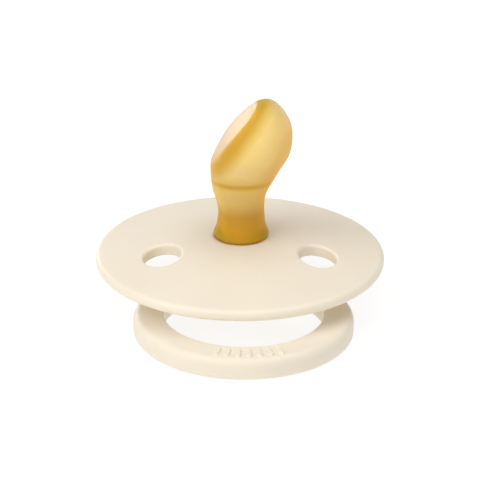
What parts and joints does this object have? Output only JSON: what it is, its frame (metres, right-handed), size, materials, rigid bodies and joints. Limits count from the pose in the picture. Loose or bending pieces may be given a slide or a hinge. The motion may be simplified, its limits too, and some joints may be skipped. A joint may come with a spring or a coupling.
{
  "type": "baby pacifier",
  "caption": "Baby pacifier with a domed round vented shield, a hollow leaning latex nipple and a free-swinging ring handle on a rear knob.",
  "frame": {"origin": "centre of the knob's flat back face, which the pacifier lies on, on the shield's axis", "axes": "+Z along the shield's axis from the knob to the nipple's tip, -Y towards the ring's free side, +X towards the side the nipple leans to"},
  "size_m": [0.043, 0.0491, 0.0318],
  "materials": {
    "shield_plastic": "satin moulded polypropylene, warm ivory",
    "nipple_latex": "soft translucent natural rubber latex, honey amber",
    "plug_plastic": "moulded polypropylene, warm ivory",
    "knob_plastic": "satin moulded polypropylene, warm ivory",
    "ring_plastic": "satin moulded polypropylene, warm ivory"
  },
  "bodies": {
    "soother": {"shield": "shield_plastic", "nipple": "nipple_latex", "nipple_plug": "plug_plastic", "knob": "knob_plastic"},
    "ring_handle": {"ring": "ring_plastic"}
  },
  "joints": [
    {"name": "ring_swing", "type": "hinge", "parent": "soother", "child": "ring_handle", "pos_m": [0, 0, 0.00175], "axis": [0.9986, 0.0523, 0], "range_deg": [-7, 187]}
  ]
}
